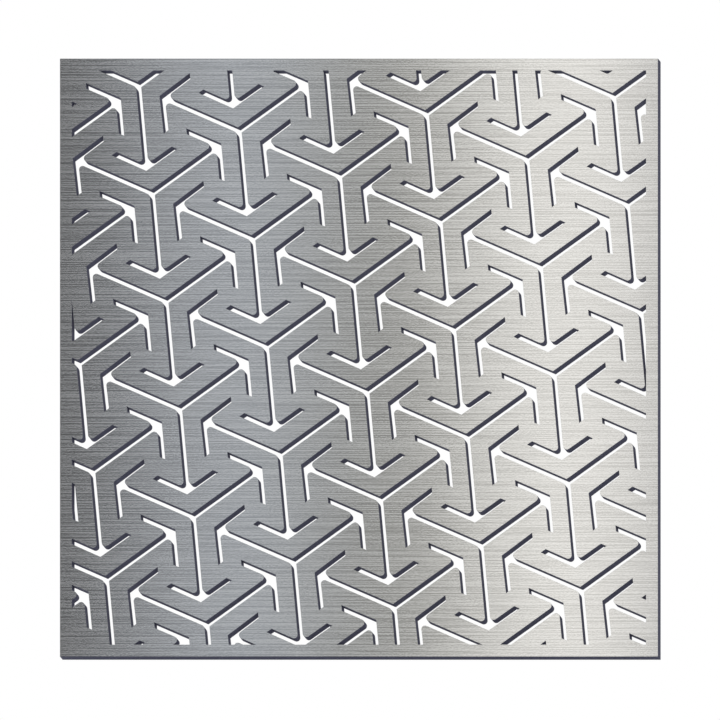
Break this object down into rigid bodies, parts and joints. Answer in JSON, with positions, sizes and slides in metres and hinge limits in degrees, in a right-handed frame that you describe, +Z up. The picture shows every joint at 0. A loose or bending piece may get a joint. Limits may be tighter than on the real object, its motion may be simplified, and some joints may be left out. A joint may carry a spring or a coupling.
{
  "type": "laser cut metal screen",
  "caption": "Flat square sheet metal screen with a plain border, cut through all over with interlocking Y-shaped slots whose arms end in arrow heads.",
  "frame": {"origin": "middle of the bottom edge, midway through the sheet's thickness", "axes": "+X to the right along the width seen from the front, +Z up along the height, front face towards -Y"},
  "size_m": [0.6, 0.004, 0.6],
  "materials": {
    "brushed_sheet": "satin brushed along the width on both faces, dark blue-grey laser cut edges"
  },
  "bodies": {
    "root": {"screen_panel": "brushed_sheet"}
  },
  "joints": []
}
